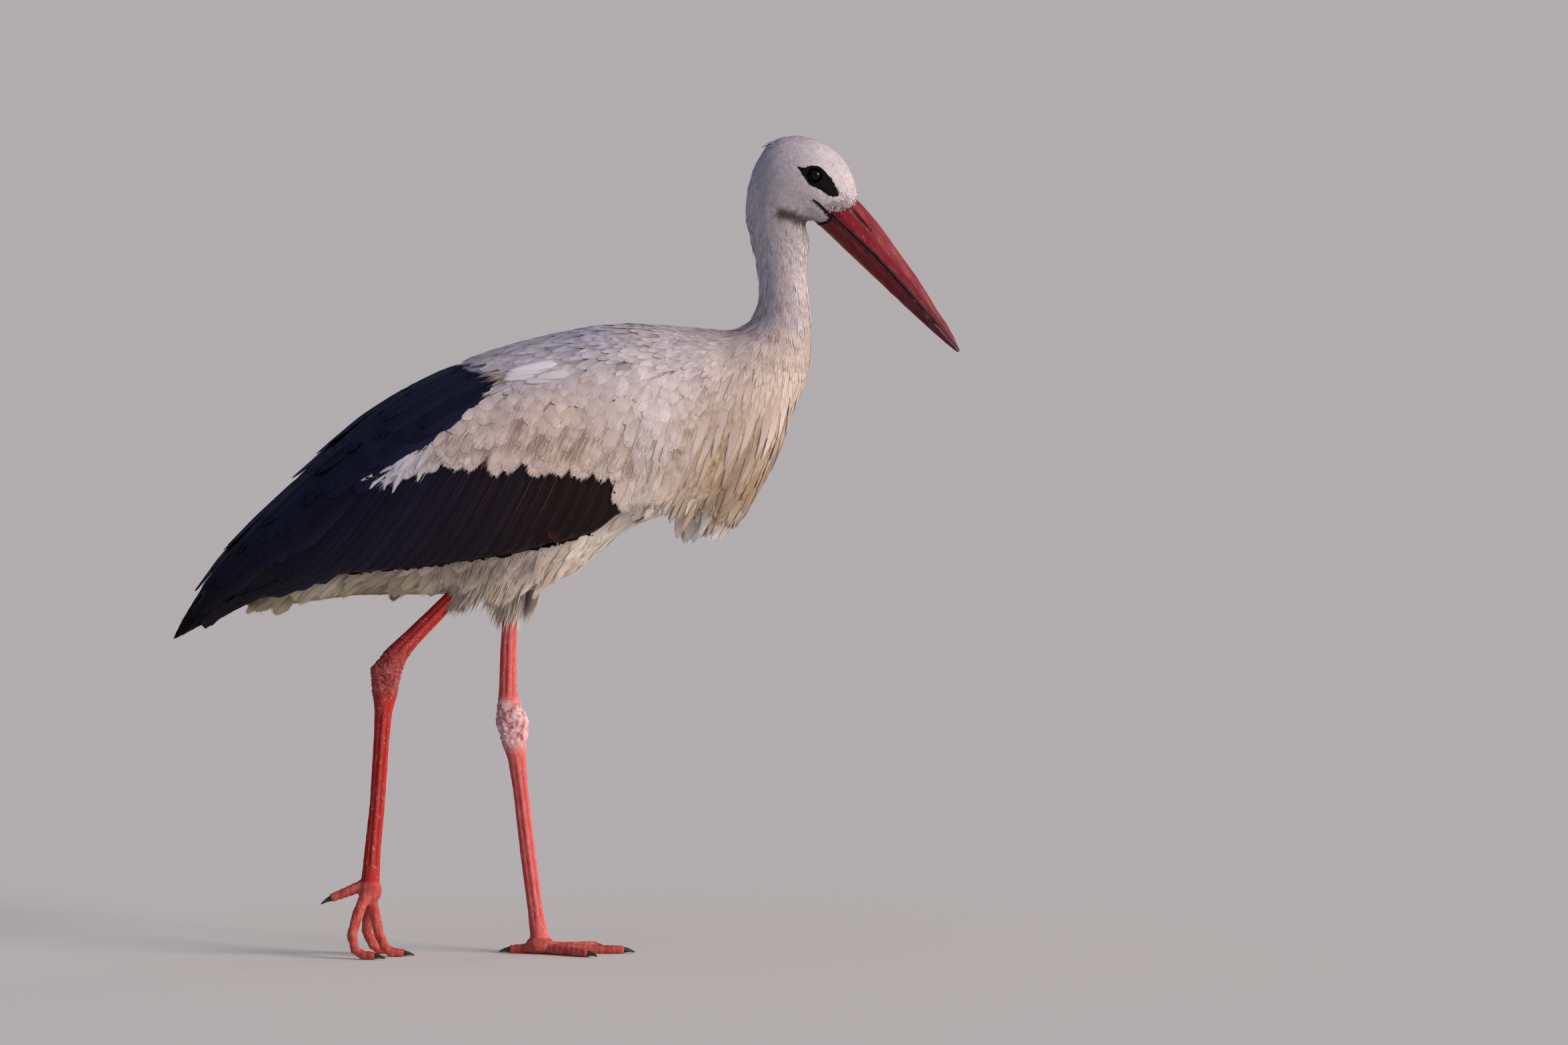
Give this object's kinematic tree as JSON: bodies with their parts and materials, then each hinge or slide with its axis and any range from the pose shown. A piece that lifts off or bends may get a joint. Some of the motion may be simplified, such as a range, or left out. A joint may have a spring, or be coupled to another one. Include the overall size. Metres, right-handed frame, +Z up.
{
  "type": "white stork model",
  "caption": "Life-size standing white stork in mid stride, wings folded, one foot planted and the other rolling off its toes.",
  "frame": {"origin": "on the floor under the middle of the bird's overall length and width, at the level of its toes' undersides", "axes": "+X towards the bill, the way the bird faces; +Y towards the bird's left side; +Z up"},
  "size_m": [0.7644, 0.194, 0.7953],
  "materials": {
    "white_feathers": "soft cream-white feathers, matt",
    "black_feathers": "black flight feathers with a violet and bronze sheen",
    "bill_horn": "red horn, worn and scraped, greyer at the tip",
    "leg_skin": "red scaly skin, dusty pink on the hocks",
    "claw_horn": "dark brown horn",
    "eye": "near-black, wet gloss"
  },
  "bodies": {
    "root": {"head": "white_feathers", "neck": "white_feathers", "trunk": "white_feathers", "tail": "white_feathers", "breast_plumes": "white_feathers", "right_eye": "eye", "left_eye": "eye", "bill_upper": "bill_horn", "bill_lower": "bill_horn", "mantle": "white_feathers", "right_wing_coverts": "white_feathers", "right_scapulars": "black_feathers", "right_flight_feathers": "black_feathers", "left_wing_coverts": "white_feathers", "left_scapulars": "black_feathers", "left_flight_feathers": "black_feathers", "right_thigh": "white_feathers", "right_shank": "leg_skin", "right_hock": "leg_skin", "right_tarsus": "leg_skin", "right_foot": "leg_skin", "right_middle_toe": "leg_skin", "right_middle_claw": "claw_horn", "right_outer_toe": "leg_skin", "right_outer_claw": "claw_horn", "right_inner_toe": "leg_skin", "right_inner_claw": "claw_horn", "right_hallux_toe": "leg_skin", "right_hallux_claw": "claw_horn", "left_thigh": "white_feathers", "left_shank": "leg_skin", "left_hock": "leg_skin", "left_tarsus": "leg_skin", "left_foot": "leg_skin", "left_middle_toe": "leg_skin", "left_middle_claw": "claw_horn", "left_outer_toe": "leg_skin", "left_outer_claw": "claw_horn", "left_inner_toe": "leg_skin", "left_inner_claw": "claw_horn", "left_hallux_toe": "leg_skin", "left_hallux_claw": "claw_horn"}
  },
  "joints": []
}
